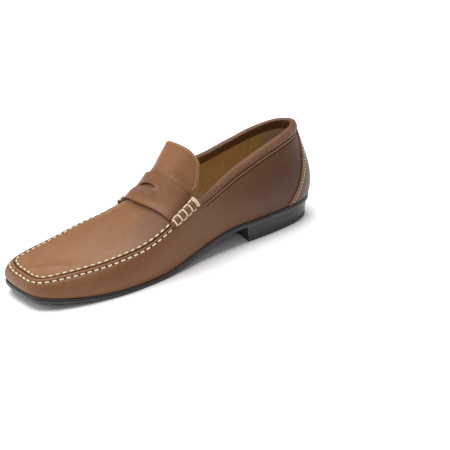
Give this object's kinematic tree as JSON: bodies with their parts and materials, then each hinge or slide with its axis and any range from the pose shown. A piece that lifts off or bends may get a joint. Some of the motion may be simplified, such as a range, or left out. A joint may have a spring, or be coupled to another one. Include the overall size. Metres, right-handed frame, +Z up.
{
  "type": "penny loafer",
  "caption": "Left slip-on moccasin shoe with a stitched apron, slit saddle strap, beefrolls, leather lining, thin leather sole and low stacked heel.",
  "frame": {"origin": "centre of the heel's flat ground face", "axes": "+X from heel to toe, +Y to the outer side of the foot (the wearer's left), +Z up"},
  "size_m": [0.3032, 0.0984, 0.1033],
  "materials": {
    "brown_leather": "smooth calf leather, satin",
    "binding_leather": "thin rolled calf leather, satin",
    "lining_leather": "undyed lining leather, matt",
    "suede": "reversed leather, matt nap",
    "edge_leather": "black inked and waxed sole leather, satin",
    "heel_rubber": "black rubber, matt",
    "cream_thread": "waxed thick thread",
    "brown_thread": "fine thread",
    "steel": "plain steel",
    "cork": "cork granules in wax",
    "fibre_board": "leather fibre board, matt",
    "foam": "soft latex foam, matt"
  },
  "bodies": {
    "shoe": {"top_lift": "heel_rubber", "heel_lift_1": "edge_leather", "heel_lift_2": "edge_leather", "heel_lift_3": "edge_leather", "heel_nails": "steel", "outsole": "edge_leather", "welt": "edge_leather", "sole_stitching": "cream_thread", "cork_filler": "cork", "shank": "steel", "insole": "fibre_board", "heel_pad": "foam", "sock_liner": "lining_leather", "vamp_wall": "brown_leather", "toe_puff": "fibre_board", "heel_counter": "fibre_board", "vamp_lining": "lining_leather", "apron_lining": "lining_leather", "quarter_lining_lateral": "lining_leather", "quarter_lining_medial": "lining_leather", "heel_grip": "suede", "apron": "brown_leather", "topline_binding": "binding_leather", "topline_stitching": "brown_thread", "back_stay": "brown_leather", "back_stay_stitching": "cream_thread", "saddle_strap": "brown_leather", "beefroll_lateral": "brown_leather", "beefroll_medial": "brown_leather", "beefroll_thread_lateral": "cream_thread", "beefroll_thread_medial": "cream_thread", "seam_stitching_inner": "cream_thread", "seam_stitching_outer": "cream_thread"},
    "tongue": {"tongue": "brown_leather", "tongue_lining": "lining_leather", "tongue_stitching": "brown_thread"}
  },
  "joints": [
    {"name": "tongue_flex", "type": "hinge", "parent": "shoe", "child": "tongue", "pos_m": [0.1155, 0.002, 0.0794], "axis": [0, 1, 0], "range_deg": [0, 25], "stiffness_Nm_per_rad": 0.05}
  ]
}
